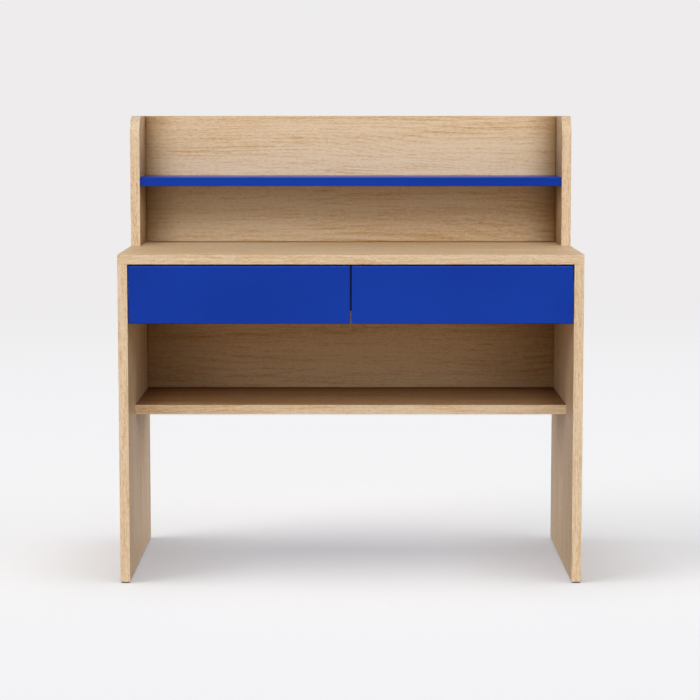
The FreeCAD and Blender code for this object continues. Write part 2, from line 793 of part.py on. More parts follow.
def drawer(name, side):
    """A drawer with its two slides, in the opening left or right of the divider."""
    opening = between(side, "board / 2", "inside")
    front_x = between(side, "centre_gap / 2", "inside - side_reveal")
    box = (opening[0] + " + slide_gap", opening[1] + " - slide_gap")
    inner = (box[0] + " + box_board", box[1] + " - box_board")
    groove_z = ("bottom_level", "bottom_level + bottom_board + groove_play")
    label = name + "_drawer_"

    front = Board(label + "front", (front_x[0], "front", "front_bottom"),
                  (front_x[1], "front + front_board", "front_bottom + front_height"))
    ease_edges(front.body, front.blank, "front_easing", lambda middle, way: abs(middle.y) < 0.01)
    box_sides = [
        Board(label + "left_side", (box[0], "box_front", "box_bottom"),
              (inner[0], "box_back", "box_top")),
        Board(label + "right_side", (inner[1], "box_front", "box_bottom"),
              (box[1], "box_back", "box_top"))]
    rear = Board(label + "back", (inner[0], "box_back - box_board", "box_bottom"),
                 (inner[1], "box_back", "box_top"))
    Board(label + "bottom", (inner[0] + " - tongue", "box_front - tongue", "bottom_level"),
          (inner[1] + " + tongue", "box_back - box_board + tongue", "bottom_level + bottom_board"))
    # grooves for the bottom
    front.groove((inner[0] + " - groove_depth", "box_front - groove_depth", groove_z[0]),
                 (inner[1] + " + groove_depth", "box_front", groove_z[1]))
    rear.groove((inner[0], "box_back - box_board", groove_z[0]),
                (inner[1], "box_back - box_board + groove_depth", groove_z[1]))
    box_sides[0].groove((inner[0] + " - groove_depth", "box_front", groove_z[0]),
                        (inner[0], "box_back", groove_z[1]))
    box_sides[1].groove((inner[1], "box_front", groove_z[0]),
                        (inner[1] + " + groove_depth", "box_back", groove_z[1]))
    # dowels at the four corners
    levels = ("box_bottom + box_height / 2", "box_top - box_height / 5")
    ends = (box[0] + " + box_board / 2", box[1] + " - box_board / 2")
    for end, box_side, inner_face, inwards in zip(ends, box_sides, inner, ("+X", "-X")):
        dowel_joint([(end, "box_front", level) for level in levels], "+Y", front, box_side,
                    label + "dowels", "box_")
        dowel_joint([(inner_face, "box_back - box_board / 2", level) for level in levels], inwards,
                    box_side, rear, label + "dowels", "box_")
    group(label + "dowels", [(dowels["box_"],) + place for place in fitted[label + "dowels"]])

    # slides: the right one is the left one turned half round its length
    parts = {"outer_cages": [], "outer_balls": [], "inner_cages": [], "inner_balls": []}
    box_screws = []
    for hand, face, turn in (("left", opening[0], Rotation()),
                             ("right", opening[1], Rotation(AXES["Y"], 180))):
        sign = 1 if hand == "left" else -1
        place = (face, "box_front", "slide_middle")
        rail(label + hand + "_outer_rail", place, turn, outer_section, ("0", "+X"))
        slot_holes(rail(label + hand + "_middle_rail", place, turn, middle_section), "middle_web")
        rail(label + hand + "_inner_rail", place, turn, inner_section, ("slide_gap", "-X"))
        parts["outer_cages"].append((outer_cage, place, turn))
        parts["inner_cages"].append((inner_cage, place, turn))
        for row, u, v in (("outer_balls", "outer_u", "outer_v"),
                          ("inner_balls", "inner_u", "inner_v")):
            for along in ball_places():
                for way in (-1, 1):
                    parts[row].append((ball, (face + " + " + times(sign, u), "box_front + " + along,
                                              "slide_middle + " + times(way, v)), Rotation()))
        for along in RAIL_SCREWS:
            cabinet_screws.append((screw, (face, "box_front + " + along, "slide_middle"),
                                   aimed("+X" if sign > 0 else "-X", "+Y")))
            box_screws.append((screw, (face + " + " + times(sign, "slide_gap"),
                                       "box_front + " + along, "slide_middle"),
                               aimed("-X" if sign > 0 else "+X", "+Y")))
        # pilot bores of the rail screws
        feet = [(face, "box_front + " + along, "slide_middle") for along in RAIL_SCREWS]
        into = "-X" if sign > 0 else "+X"
        cabinet = divider if (hand == "right") == (side < 0) else sides[side]
        wide = "rail_screw + 2 * bore_play"
        cabinet.drill(into, feet, SINK_WIDTH, SINK_DEPTH)
        cabinet.drill(into, feet, wide, "rail_screw_reach + bore_spare")
        feet = [step(foot, opposite(into), "slide_gap") for foot in feet]
        box_side = box_sides[0 if sign > 0 else 1]
        box_side.drill(opposite(into), feet, SINK_WIDTH, SINK_DEPTH)
        box_side.drill(opposite(into), feet, wide, "rail_screw_reach + bore_spare")
    group(label + "rail_screws", box_screws)
    for row, places in parts.items():
        group(label + row, places)


drawer("left", -1)
drawer("right", 1)
group("cabinet_rail_screws", cabinet_screws)
group("wood_dowels", [(dowels[""],) + place for place in fitted["wood_dowels"]])
group("cam_bolts", [(bolt,) + place for bolt in [bolt_template()] for place in fitted["cam_bolts"]])
group("cam_nuts", [(cam,) + place for cam in [cam_template()] for place in fitted["cam_nuts"]])

# ---------------------------------------------------------------- checks and export

doc.recompute()
faults = []
for item in doc.Objects:
    if "Invalid" in item.State or "Error" in item.State:
        faults.append("%s is %s" % (item.Label, item.State))
for feature, least in pockets:
    taken = feature.BaseFeature.Shape.Volume - feature.Shape.Volume
    if taken < 0.5 * least:
        faults.append("%s takes away %.1f of %.1f mm3" % (feature.Label, taken, least))
for node in nodes:
    if node.Shape.isNull() or not node.Shape.isValid():
        faults.append(node.Label + " has no valid shape")
if faults:
    raise RuntimeError("\n".join(faults))

os.makedirs("parts", exist_ok=True)
for node in nodes:
    node.Shape.exportStep("parts/%s.step" % node.Label)
print("%d nodes, %d solids" % (len(nodes), sum(len(node.Shape.Solids) for node in nodes)))
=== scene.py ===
import json
import math

import bmesh
import bpy
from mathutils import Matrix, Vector


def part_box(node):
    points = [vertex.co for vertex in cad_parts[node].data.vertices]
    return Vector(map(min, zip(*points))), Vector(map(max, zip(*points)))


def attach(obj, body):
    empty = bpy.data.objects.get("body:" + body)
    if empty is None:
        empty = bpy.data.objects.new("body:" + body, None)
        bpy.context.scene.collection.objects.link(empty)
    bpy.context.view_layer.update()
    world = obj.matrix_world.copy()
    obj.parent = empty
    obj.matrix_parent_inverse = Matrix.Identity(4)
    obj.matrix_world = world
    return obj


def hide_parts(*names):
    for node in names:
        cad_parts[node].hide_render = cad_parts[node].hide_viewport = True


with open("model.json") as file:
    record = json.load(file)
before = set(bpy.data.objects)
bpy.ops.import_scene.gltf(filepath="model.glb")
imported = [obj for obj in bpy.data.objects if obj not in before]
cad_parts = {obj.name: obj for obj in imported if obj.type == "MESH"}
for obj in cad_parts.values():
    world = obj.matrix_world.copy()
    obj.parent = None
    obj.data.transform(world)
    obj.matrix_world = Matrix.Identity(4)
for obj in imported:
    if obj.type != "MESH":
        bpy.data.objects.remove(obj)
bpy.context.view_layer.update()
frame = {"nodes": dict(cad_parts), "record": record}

print("student desk: frame loaded")

millimetre = 0.001
openSamples = 8  # rays that feel for neighbouring boards at each point


def tint(red, green, blue):
    # screen colour, 0 to 255, as the linear colour that shaders take
    parts = [part / 255 for part in (red, green, blue)]
    return [part / 12.92 if part < 0.04045 else ((part + 0.055) / 1.055) ** 2.4
            for part in parts] + [1]


class Wire:
    # one output socket, so that shader sums read as plain expressions
    def __init__(self, paint, socket):
        self.paint = paint
        self.socket = socket

    def __add__(self, other):
        return self.paint.sum("ADD", self, other)

    def __radd__(self, other):
        return self.paint.sum("ADD", other, self)

    def __sub__(self, other):
        return self.paint.sum("SUBTRACT", self, other)

    def __rsub__(self, other):
        return self.paint.sum("SUBTRACT", other, self)

    def __mul__(self, other):
        return self.paint.sum("MULTIPLY", self, other)

    def __rmul__(self, other):
        return self.paint.sum("MULTIPLY", other, self)

    def __truediv__(self, other):
        return self.paint.sum("DIVIDE", self, other)

    def __rtruediv__(self, other):
        return self.paint.sum("DIVIDE", other, self)

    def __pow__(self, other):
        return self.paint.sum("POWER", self, other)

    def __rpow__(self, other):
        return self.paint.sum("POWER", other, self)


class Paint:
    # the nodes of one material or of the world
    def __init__(self, owner):
        owner.use_nodes = True
        self.owner = owner
        self.tree = owner.node_tree
        self.tree.nodes.clear()
        self.placed = []

    def node(self, kind, settings=None, sockets=None, output=0):
        made = self.tree.nodes.new("ShaderNode" + kind)
        for name, setting in (settings or {}).items():
            if name == "stops":
                ramp = made.color_ramp
                while len(ramp.elements) < len(setting):
                    ramp.elements.new(1)
                for element, (position, level) in zip(ramp.elements, setting):
                    element.position = position
                    element.color = [level, level, level, 1]
            else:
                setattr(made, name, setting)
        for name, given in (sockets or {}).items():
            if isinstance(given, Wire):
                self.tree.links.new(given.socket, made.inputs[name])
            else:
                made.inputs[name].default_value = given
        return Wire(self, made.outputs[output]) if made.outputs else None

    def sum(self, operation, first, second):
        return self.node("Math", {"operation": operation}, {0: first, 1: second})

    def clamp(self, level):
        return self.node("Math", {"operation": "ADD", "use_clamp": True}, {0: level, 1: 0})

    def ramp(self, level, stops):
        return self.node("ValToRGB", {"stops": stops}, {"Fac": level})

    def between(self, level, limits):
        # 0 below the first limit, 1 above the second, smooth in between
        low, high = limits
        return self.node("MapRange", {"interpolation_type": "SMOOTHSTEP"},
                         {"Value": level, "From Min": low, "From Max": high})

    def mix(self, factor, first, second, way="MIX"):
        # a Mix node keeps its two colours in sockets 6 and 7, and gives the mixed one as output 2
        return self.node("Mix", {"data_type": "RGBA", "blend_type": way},
                         {0: factor, 6: first, 7: second}, output=2)

    def places(self):
        # place on the piece in metres, as three values
        if not self.placed:
            point = self.node("TexCoord", output="Object")
            self.placed = [self.node("SeparateXYZ", sockets={0: point}, output=axis)
                           for axis in "XYZ"]
        return list(self.placed)

    def noise(self, x, y, z, steps, strength):
        # from 0 to 1, with 0.5 as its middle
        point = self.node("CombineXYZ", sockets={0: x, 1: y, 2: z})
        return self.node("TexNoise", sockets={
            "Vector": point, "Scale": 1, "Detail": steps, "Roughness": strength})

    def cells(self, x, y, z):
        point = self.node("CombineXYZ", sockets={0: x, 1: y, 2: z})
        return self.node("TexVoronoi", sockets={"Vector": point, "Scale": 1}, output="Distance")

    def scaled(self, count):
        # the place, for count repeats in a metre: one number, or one each for X, Y and Z
        counts = count if isinstance(count, tuple) else (count,) * 3
        return [place * each for place, each in zip(self.places(), counts)]

    def mottle(self, count, steps, strength):
        # noise with count repeats in a metre, and with finer steps of some strength on it
        return self.noise(*self.scaled(count), steps, strength)

    def openShare(self, reach):
        # how much of what a face looks at is open within reach, from 0 to 1
        return self.node("AmbientOcclusion", {"samples": openSamples}, {"Distance": reach},
                         output="AO")

    def shade(self, colour, roughness, height, relief, **fixed):
        # the surface: what varies, then what is the same all over
        normal = self.node("Bump", sockets={"Strength": 1, "Distance": relief, "Height": height})
        sockets = {"Base Color": colour, "Roughness": roughness, "Normal": normal}
        sockets.update({name.replace("_", " "): value for name, value in fixed.items()})
        surface = self.node("BsdfPrincipled", sockets=sockets)
        self.node("OutputMaterial", sockets={"Surface": surface})
        return self.owner


def newPaint(name):
    return Paint(bpy.data.materials.new(name))


# Oak laminate. The grain runs along one axis; every board gets its own stretch of the print.
# Where nothing else is said, a value is how strongly that layer of the print shows.
oakPrint = {
    "pale": tint(226, 206, 179),
    "warm": tint(192, 149, 94),
    "pore": tint(152, 112, 72),
    "depth": 0.12,  # how far the plain ground is from pale towards warm
    "ringSpacing": 10.5 * millimetre,
    "ringWander": 17,  # growth lines that the wander moves a line by
    # place from one growth line to the next, and how dark the line is there
    "ringEdges": [(0, 0.1), (0.35, 0), (0.7, 0.45), (0.86, 1), (0.97, 0.5), (1, 0.1)],
    "knotRings": 2.4,  # how many growth lines bend round a knot
    "knotSize": 0.24,
    "knotFigure": 0.4,
    "figure": 0.34,
    "faintest": 0.3,  # growth lines never fade further than this
    "streaks": 0.42,
    "flecks": 1.3,
    "bands": 0.9,
    "grit": 0.7,
    "tone": 0.75,
    "poreTint": 0.5,
    "waveHeight": 4 * millimetre,
    "sheen": 0.46,
    "fleckSheen": 0.06,
    "poreSheen": 0.12,
    "relief": 0.035 * millimetre,
    "poreRelief": 0.6,  # shares of the relief
    "fleckRelief": 0.5,
    "streakRelief": 0.15,
    "ior": 1.48,
    "specular": 0.05,
    "paintedNookShade": [0.42, 0.32, 0.2, 1],  # painted shade: what is left of the colour in a corner between boards
    "paintedNookReach": 90 * millimetre,
    "paintedNookFall": 1.7,  # above 1 the painted shade stays nearer to the corner
}
# For each layer of the print: how often it repeats in a metre, along the grain and across it,
# and then how many finer steps its noise has and how strong they are.
printLayers = {
    "wave": (6, 20, 2, 0.5),
    "wander": (1.5, 7, 1, 0.35),
    "drift": (0.9, 4, 2, 0.5),
    "knot": (3.1, 6),
    "presence": (2.4, 16, 2, 0.5),
    "streak": (9, 240, 3, 0.7),
    "band": (2.6, 42, 3, 0.6),
    "fleck": (75, 430, 2, 0.65),
    "grit": (260, 900, 1, 0.5),
    "pore": (95, 2300, 1, 0.5),
}
# where a layer's noise turns from nothing to all of it
printLimits = {"presence": (0.42, 0.62), "streak": (0.45, 0.7), "pore": (0.6, 0.72)}
boardStep = 1.7  # metres of print from one board to the next
presenceShift = 5  # keeps where the growth lines show apart from the other layers

# the desktop, the low shelf and the back boards get a warmer, more saturated print, which is
# painted shade: the colour that light bouncing between wooden boards gives them
paintedShadeWarmPrint = dict(oakPrint, pale=tint(228, 204, 171), warm=tint(196, 148, 86))
# the low back is printed paler, painted light in its dim bay, and its painted nook shade reaches
# further in from its ends
lowBackPaintedLightAndShadePrint = dict(paintedShadeWarmPrint, pale=tint(241, 211, 171), paintedNookReach=260 * millimetre)
# the low shelf is printed darker, painted shade from the drawers over it
lowShelfPaintedShadePrint = dict(paintedShadeWarmPrint, pale=tint(206, 176, 140), warm=tint(166, 118, 68))
# narrow bands show the flecks of the print more sharply
bandPrint = dict(oakPrint, flecks=1.7, grit=0.95)
hutchBandPrint = dict(oakPrint, flecks=2.1, grit=1.5, bands=1.0)


def paintedNookMask(paint, look, strength, end=None):
    # painted shade beside the neighbouring boards: all round, or only towards both ends of the
    # board
    reach = look["paintedNookReach"]
    if end is None:
        # a right-angled corner hides half of what a face can see, hence the doubling
        return paint.clamp((1 - paint.openShare(reach)) * (2 * strength))
    distance = paint.node("Math", {"operation": "ABSOLUTE"}, {0: paint.places()[0]})
    towardsEnd = paint.clamp((distance - (end - reach)) / reach)
    return towardsEnd ** look["paintedNookFall"] * strength


def oakFinish(name, grain, stretch, look=oakPrint, figure=1, depth=0, paintedNookShade=0, end=None):
    paint = newPaint(name)
    places = paint.places()
    along = places.pop("XYZ".index(grain)) + boardStep * stretch
    first, second = places

    def shifted(level, shift):
        return level + shift if shift else level

    def place(layer, firstShift=0, secondShift=0):
        alongScale, acrossScale = printLayers[layer][:2]
        return (along * alongScale, shifted(first * acrossScale, firstShift),
                shifted(second * acrossScale, secondShift))

    def noise(layer, firstShift=0, secondShift=0):
        return paint.noise(*place(layer, firstShift, secondShift), *printLayers[layer][2:])

    # the print waves a little as it runs along the board
    wave = (noise("wave", 0, stretch) - 0.5) * look["waveHeight"]
    first, second = first + wave, second + wave
    wander = noise("wander", stretch)
    drift = noise("drift", 0, stretch)
    knot = 1 - paint.between(paint.cells(*place("knot")), (0, look["knotSize"]))
    rings = ((first + second) / look["ringSpacing"] + wander * look["ringWander"]
             + knot * look["knotRings"])
    ring = paint.node("Math", {"operation": "FRACT"}, {0: rings})
    line = paint.ramp(ring, look["ringEdges"])
    presence = look["faintest"] + (1 - look["faintest"]) * paint.between(
        noise("presence", 0, presenceShift), printLimits["presence"])
    # long streaks, broad bands, short flecks both paler and darker, grit and open pores
    streak = paint.between(noise("streak", 0, stretch), printLimits["streak"])
    band = noise("band", 0, stretch) - 0.5
    fleck = noise("fleck", stretch) - 0.5
    grit = noise("grit", 0, stretch) - 0.5
    pores = paint.between(noise("pore"), printLimits["pore"])
    # a board's own depth darkens its whole tone as painted shade, and below 0 pales it as painted
    # light
    tone = (line * (presence + knot * look["knotFigure"]) * (look["figure"] * figure)
            + streak * look["streaks"] + band * look["bands"]
            + fleck * look["flecks"] + grit * look["grit"]
            + (drift - 0.5) * look["tone"] + (look["depth"] + depth))
    colour = paint.mix(paint.clamp(tone), look["pale"], look["warm"])
    colour = paint.mix(pores * look["poreTint"], colour, look["pore"])
    # painted shade beside the neighbouring boards, multiplied into the colour
    if paintedNookShade:
        shade = paintedNookMask(paint, look, paintedNookShade, end)
        colour = paint.mix(shade, colour, look["paintedNookShade"], "MULTIPLY")
    roughness = look["sheen"] + fleck * look["fleckSheen"] + pores * look["poreSheen"]
    height = (0 - pores * look["poreRelief"] - fleck * look["fleckRelief"]
              - streak * look["streakRelief"])
    return paint.shade(colour, roughness, height, look["relief"],
                       IOR=look["ior"], Specular_IOR_Level=look["specular"])


# In this finish and the next ones, a layer's three values are how often it repeats in a metre,
# how many finer steps its noise has and how strong they are.
lacquer = {
    "blue": tint(14, 58, 166),
    "shade": tint(10, 52, 156),
    "cloud": (3, 3, 0.5),
    "cloudLimits": (0.3, 0.7),
    "peel": (420, 2, 0.5),
    "mist": (1500, 1, 0.5),
    "peelRelief": 0.03 * millimetre,
    "sheen": 0.36,
    "cloudSheen": 0.06,
    "mistSheen": 0.05,
    "ior": 1.5,
    "specular": 0.12,
}


def lacquerFinish(name, look=lacquer):
    paint = newPaint(name)
    cloud = paint.mottle(*look["cloud"])
    peel = paint.mottle(*look["peel"])
    mist = paint.mottle(*look["mist"])
    colour = paint.mix(
        paint.between(cloud, look["cloudLimits"]), look["blue"], look["shade"])
    roughness = (look["sheen"] + (cloud - 0.5) * look["cloudSheen"]
                 + (mist - 0.5) * look["mistSheen"])
    return paint.shade(colour, roughness, peel, look["peelRelief"],
                       IOR=look["ior"], Specular_IOR_Level=look["specular"])


drawerFoil = {
    "pale": tint(226, 212, 188),
    "warm": tint(208, 187, 156),
    "streak": (7, 260, 3, 0.6),  # along the grain and across it, then the finer steps
    "streakLimits": (0.35, 0.75),
    "dash": (60, 900, 1, 0.5),
    "dashLimits": (0.5, 0.75),
    "streakTone": 0.6,
    "dashTone": 0.4,
    "relief": 0.04 * millimetre,
    "sheen": 0.5,
    "dashSheen": 0.08,
    "ior": 1.46,
}


def foilFinish(name, grain, look=drawerFoil):
    paint = newPaint(name)
    places = paint.places()
    along = places.pop("XYZ".index(grain))

    def noise(layer):
        alongScale, acrossScale, steps, strength = look[layer]
        return paint.noise(along * alongScale, places[0] * acrossScale,
                           places[1] * acrossScale, steps, strength)

    streak = noise("streak")
    dash = noise("dash")
    tone = (paint.between(streak, look["streakLimits"]) * look["streakTone"]
            + paint.between(dash, look["dashLimits"]) * look["dashTone"])
    colour = paint.mix(tone, look["pale"], look["warm"])
    roughness = look["sheen"] + dash * look["dashSheen"]
    return paint.shade(colour, roughness, 0 - dash, look["relief"], IOR=look["ior"])


hardboard = {
    "face": tint(222, 205, 178),
    "fibreTint": tint(196, 172, 138),
    "fibre": ((700, 260, 700), 4, 0.7),
    "fibreLimits": (0.4, 0.75),
    "cloud": (9, 3, 0.5),
    "fibreTone": 0.6,
    "cloudTone": 0.3,
    "relief": 0.05 * millimetre,
    "sheen": 0.55,
    "fibreSheen": 0.12,
    "ior": 1.45,
}


def hardboardFinish(name, look=hardboard):
    paint = newPaint(name)
    fibre = paint.mottle(*look["fibre"])
    cloud = paint.mottle(*look["cloud"])
    tone = (paint.between(fibre, look["fibreLimits"]) * look["fibreTone"]
            + cloud * look["cloudTone"])
    colour = paint.mix(tone, look["face"], look["fibreTint"])
    roughness = look["sheen"] + fibre * look["fibreSheen"]
    return paint.shade(colour, roughness, fibre, look["relief"], IOR=look["ior"])


beech = {
    "pale": tint(219, 184, 140),
    "rayTint": tint(178, 132, 88),
    "grain": ((900, 900, 120), 3, 0.6),
    "rays": ((2400, 2400, 500), 1, 0.5),
    "rayLimits": (0.6, 0.7),
    "grainTone": 0.3,
    "rayTone": 0.6,
    "relief": 0.08 * millimetre,
    "sheen": 0.6,
    "raySheen": 0.1,
    "ior": 1.45,
}


def beechFinish(name, look=beech):
    paint = newPaint(name)
    grain = paint.mottle(*look["grain"])
    rays = paint.between(paint.mottle(*look["rays"]), look["rayLimits"])
    tone = rays * look["rayTone"] + grain * look["grainTone"]
    colour = paint.mix(tone, look["pale"], look["rayTint"])
    roughness = look["sheen"] + rays * look["raySheen"]
    return paint.shade(colour, roughness, grain, look["relief"], IOR=look["ior"])


zincPlate = {
    "bright": tint(205, 208, 212),
    "dull": tint(168, 172, 178),
    "drawn": ((2600, 30, 2600), 2, 0.5),  # fine lines along the rails
    "cloud": ((60, 25, 60), 3, 0.6),
    "cloudLimits": (0.35, 0.7),
    "spangle": 160,  # crystals in a metre
    "cloudTone": 0.6,
    "spangleTone": 0.3,
    "relief": 0.01 * millimetre,
    "sheen": 0.27,
    "cloudSheen": 0.14,
    "drawnSheen": 0.08,
}


def zincFinish(name, look=zincPlate):
    paint = newPaint(name)
    drawn = paint.mottle(*look["drawn"])
    cloud = paint.mottle(*look["cloud"])
    spangle = paint.cells(*paint.scaled(look["spangle"]))
    tone = (paint.between(cloud, look["cloudLimits"]) * look["cloudTone"]
            + spangle * look["spangleTone"])
    colour = paint.mix(tone, look["bright"], look["dull"])
    roughness = look["sheen"] + cloud * look["cloudSheen"] + drawn * look["drawnSheen"]
    return paint.shade(colour, roughness, drawn, look["relief"], Metallic=1)


# finishes with a coarse cloud in the colour and a finer one in the surface
castZinc = {
    "plain": tint(176, 178, 180),
    "cloudy": tint(132, 134, 137),
    "cloud": (120, 3, 0.5),
    "cloudLimits": (0.35, 0.65),
    "surface": (1500, 3, 0.6),
    "relief": 0.04 * millimetre,
    "sheen": 0.42,
    "surfaceSheen": 0.15,
    "fixed": {"Metallic": 1},
}
acetal = {
    "plain": tint(226, 223, 212),
    "cloudy": tint(208, 202, 184),
    "cloud": (70, 3, 0.5),
    "cloudLimits": (0.3, 0.7),
    "surface": (1800, 2, 0.5),
    "relief": 0.03 * millimetre,
    "sheen": 0.42,
    "surfaceSheen": 0.12,
    "fixed": {"IOR": 1.49},
}
glidePlastic = dict(acetal, plain=tint(86, 66, 48), cloudy=tint(66, 50, 37), sheen=0.5)
# painted shadow: the divider's front edge in near black, so that the gap between the fronts stays
# dark
paintedShadowBand = dict(acetal, plain=tint(16, 16, 17), cloudy=tint(11, 11, 12), sheen=0.6)


def cloudyFinish(name, look):
    paint = newPaint(name)
    surface = paint.mottle(*look["surface"])
    cloud = paint.between(paint.mottle(*look["cloud"]), look["cloudLimits"])
    colour = paint.mix(cloud, look["plain"], look["cloudy"])
    roughness = look["sheen"] + surface * look["surfaceSheen"]
    return paint.shade(colour, roughness, surface, look["relief"], **look["fixed"])


bearingSteel = {
    "bright": tint(214, 216, 219),
    "oiled": tint(180, 182, 186),
    "smear": (300, 3, 0.5),
    "smearLimits": (0.4, 0.65),
    "relief": 0.004 * millimetre,
    "sheen": 0.1,
    "smearSheen": 0.12,
}


def bearingFinish(name, look=bearingSteel):
    paint = newPaint(name)
    smear = paint.mottle(*look["smear"])
    colour = paint.mix(
        paint.between(smear, look["smearLimits"]), look["bright"], look["oiled"])
    roughness = look["sheen"] + smear * look["smearSheen"]
    return paint.shade(colour, roughness, smear, look["relief"], Metallic=1)


finishes = {
    "blue_lacquer": lacquerFinish("blueLacquer"),
    "hardboard": hardboardFinish("hardboardFace"),
    "beech": beechFinish("beechDowel"),
    "zinc_plated_steel": zincFinish("zincPlate"),
    "zinc_casting": cloudyFinish("castZinc", castZinc),
    "polished_steel": bearingFinish("bearingSteel"),
    "cage_plastic": cloudyFinish("cageAcetal", acetal),
    "glide_plastic": cloudyFinish("glidePlastic", glidePlastic),
}
print("student desk: finishes made")

# How the long edges are cut: the size, and the bevel's profile, where 0.5 is round and near 0
# is a small step inwards.
easing = {
    "board": (0.4 * millimetre, 0.5),
    "backBoard": (1.6 * millimetre, 0.02),
    "band": (0.5 * millimetre, 0.5),
    "steps": 2,  # faces along each cut edge
    "shortest": 4 * millimetre,  # shorter edges stay sharp
    "sharpest": math.radians(60),  # and so do edges that turn by less than this
    "flat": math.radians(0.5),  # faces that turn by less are one face
    "weld": 0.002 * millimetre,  # corners nearer than this are one
    "onJoint": 0.05 * millimetre,  # edges nearer than this to the joint's side lie on it
    "slant": 0.1,  # of an edge of a hutch side, so that it counts as facing forwards or up
    "smoothBelow": math.radians(50),  # faces that turn by less are shaded as one
}
# For each board: the axis of its grain; the side where it meets its edge band, which stays
# sharp; how its other edges are cut; its print, and how much darker its tone is set than the
# rest, below 0 paler; how much painted shade it gets beside its neighbours, and whether only
# towards its ends. The darker tone of the desktop, the low shelf, the hutch sides and the right
# hutch band is painted shade, and the paler tone of the two back boards is painted light.
# Where endGrain gives an axis, the faces across the grain are banded along that. A board's
# place in the list picks its stretch of the print.
boards = {
    "left_side_panel": {"grain": "Z", "joint": "-Y"},
    "right_side_panel": {"grain": "Z", "joint": "-Y"},
    "desktop": {"grain": "X", "joint": "-Y", "print": paintedShadeWarmPrint, "depth": 0.1, "paintedNookShade": 0.15,
                "endGrain": "Y"},
    "low_shelf": {"grain": "X", "joint": "-Y", "print": lowShelfPaintedShadePrint, "depth": 0.3,
                  "paintedNookShade": 0.8},
    "low_back_panel": {"grain": "X", "edge": "backBoard", "print": lowBackPaintedLightAndShadePrint,
                       "depth": -0.1, "paintedNookShade": 0.88, "paintedNookEndsOnly": True},
    "centre_divider": {"grain": "Y"},
    "hutch_left_side": {"grain": "Z", "joint": "front and top", "depth": 0.25, "paintedNookShade": 0.45},
    "hutch_right_side": {"grain": "Z", "joint": "front and top", "depth": 0.25, "paintedNookShade": 0.45},
    "hutch_back_panel": {"grain": "X", "joint": "+Z", "edge": "backBoard", "print": paintedShadeWarmPrint,
                         "depth": -0.1, "paintedNookShade": 1, "paintedNookEndsOnly": True},
    "left_side_edge_band": {"grain": "Z", "joint": "+Y", "edge": "band", "print": bandPrint},
    "right_side_edge_band": {"grain": "Z", "joint": "+Y", "edge": "band", "print": bandPrint},
    "desktop_edge_band": {"grain": "X", "joint": "+Y", "edge": "band"},
    "low_shelf_edge_band": {"grain": "X", "joint": "+Y", "edge": "band"},
    "hutch_left_edge_band": {"grain": "Z", "joint": "back and bottom", "edge": "band",
                             "print": hutchBandPrint, "depth": 0.05, "endGrain": "Y"},
    "hutch_right_edge_band": {"grain": "Z", "joint": "back and bottom", "edge": "band",
                              "print": hutchBandPrint, "depth": 0.15, "endGrain": "Y"},
    "hutch_back_edge_band": {"grain": "X", "joint": "-Z", "edge": "band", "print": paintedShadeWarmPrint,
                             "depth": -0.05},
}
bandFigure = 0.7  # how much of the growth lines a narrow band shows
endFacing = 0.71  # how far a face's normal points along the grain, so that it counts as an end
slots = {part["node"]: part["material_slot"] for part in frame["record"]["subparts"]}
bodyOf = {node: body for body, members in frame["record"]["behaviour"]["bodies"].items()
          for node in members}


def onJoint(edge, joint, low, high):
    # true where an edge lies on the side that a band covers, or that covers its board
    if joint is None:
        return False
    if joint[0] in "+-":
        middle = (edge.verts[0].co + edge.verts[1].co) / 2
        axis = "XYZ".index(joint[1])
        level = high[axis] if joint[0] == "+" else low[axis]
        return abs(middle[axis] - level) < easing["onJoint"]
    # hutch sides: the covered edges face forward or up, and a band's inner ones back or down
    outward = sum((face.normal for face in edge.link_faces), Vector())
    lean = outward.z - outward.y
    return lean > easing["slant"] if joint == "front and top" else lean < -easing["slant"]


def eased(name, radius, profile, joint):
    # the board as a piece of its own, with its long outer edges rounded or stepped
    node = frame["nodes"][name]
    mesh = bmesh.new()
    mesh.from_mesh(node.data)
    bmesh.ops.remove_doubles(mesh, verts=mesh.verts, dist=easing["weld"])
    bmesh.ops.dissolve_limit(mesh, angle_limit=easing["flat"], verts=mesh.verts,
                             edges=mesh.edges, use_dissolve_boundaries=False)
    low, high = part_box(name)
    chosen = [edge for edge in mesh.edges
              if len(edge.link_faces) == 2
              and edge.calc_length() > easing["shortest"]
              and edge.calc_face_angle_signed() > easing["sharpest"]
              and not onJoint(edge, joint, low, high)]
    bmesh.ops.bevel(mesh, geom=chosen, offset=radius, offset_type="OFFSET",
                    segments=easing["steps"], profile=profile, affect="EDGES",
                    clamp_overlap=True)
    bmesh.ops.dissolve_degenerate(mesh, dist=easing["weld"], edges=mesh.edges)
    data = bpy.data.meshes.new(name + "_eased")
    mesh.to_mesh(data)
    mesh.free()
    piece = bpy.data.objects.new(name + "_eased", data)
    bpy.context.scene.collection.objects.link(piece)
    smoothFaces(piece)
    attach(piece, bodyOf[name])
    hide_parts(name)
    return piece


def smoothFaces(piece):
    piece.data.polygons.foreach_set("use_smooth", [True] * len(piece.data.polygons))
    piece.data.set_sharp_from_angle(angle=easing["smoothBelow"])
    weigh = piece.modifiers.new("evenFaces", "WEIGHTED_NORMAL")
    weigh.keep_sharp = True


def dressEnds(piece, grain, material):
    # the faces that lie across the grain
    piece.data.materials.append(material)
    axis = "XYZ".index(grain)
    for face in piece.data.polygons:
        if abs(face.normal[axis]) > endFacing:
            face.material_index = 1


